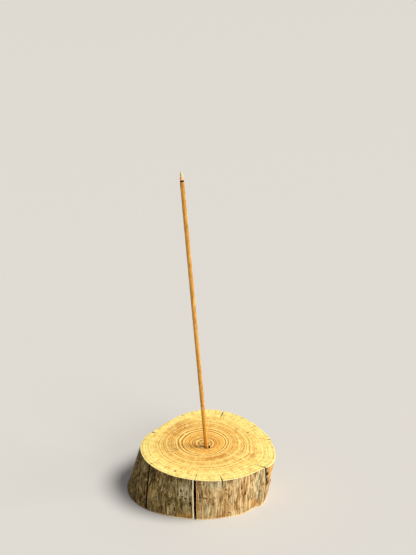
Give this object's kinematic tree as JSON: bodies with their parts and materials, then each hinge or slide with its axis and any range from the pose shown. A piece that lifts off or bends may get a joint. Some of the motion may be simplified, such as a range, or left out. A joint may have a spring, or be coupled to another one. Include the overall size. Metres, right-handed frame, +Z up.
{
  "type": "incense burner",
  "caption": "Incense burner: a thick slice of a leaning branch with sawn faces and drying checks, a hole at its pith, and a burning incense stick standing in the hole.",
  "frame": {"origin": "on the sawn bottom face, straight under the stick hole", "axes": "+Z up out of the sawn top face, and +Y away from the front, which is the side with the widest drying check"},
  "size_m": [0.1029, 0.0929, 0.225],
  "materials": {
    "sanded_sapwood": "sanded and left bare",
    "weathered_bark": "rough, weathered",
    "incense_paste": "extruded and dried, matte",
    "charred_incense": "burnt, matte",
    "glowing_ember": "glowing coal",
    "incense_ash": "powdery"
  },
  "bodies": {
    "burner": {"wood_slice": "sanded_sapwood", "bark_front_left": "weathered_bark", "bark_front_right": "weathered_bark", "bark_right": "weathered_bark", "bark_back": "weathered_bark", "bark_left": "weathered_bark"},
    "stick": {"incense_stick": "incense_paste", "char_collar": "charred_incense", "ember": "glowing_ember", "ash_cap": "incense_ash"}
  },
  "joints": [
    {"name": "stick_lift", "type": "slide", "parent": "burner", "child": "stick", "axis": [-0.0796, 0.0259, 0.9965], "range_m": [0, 0.025]}
  ]
}
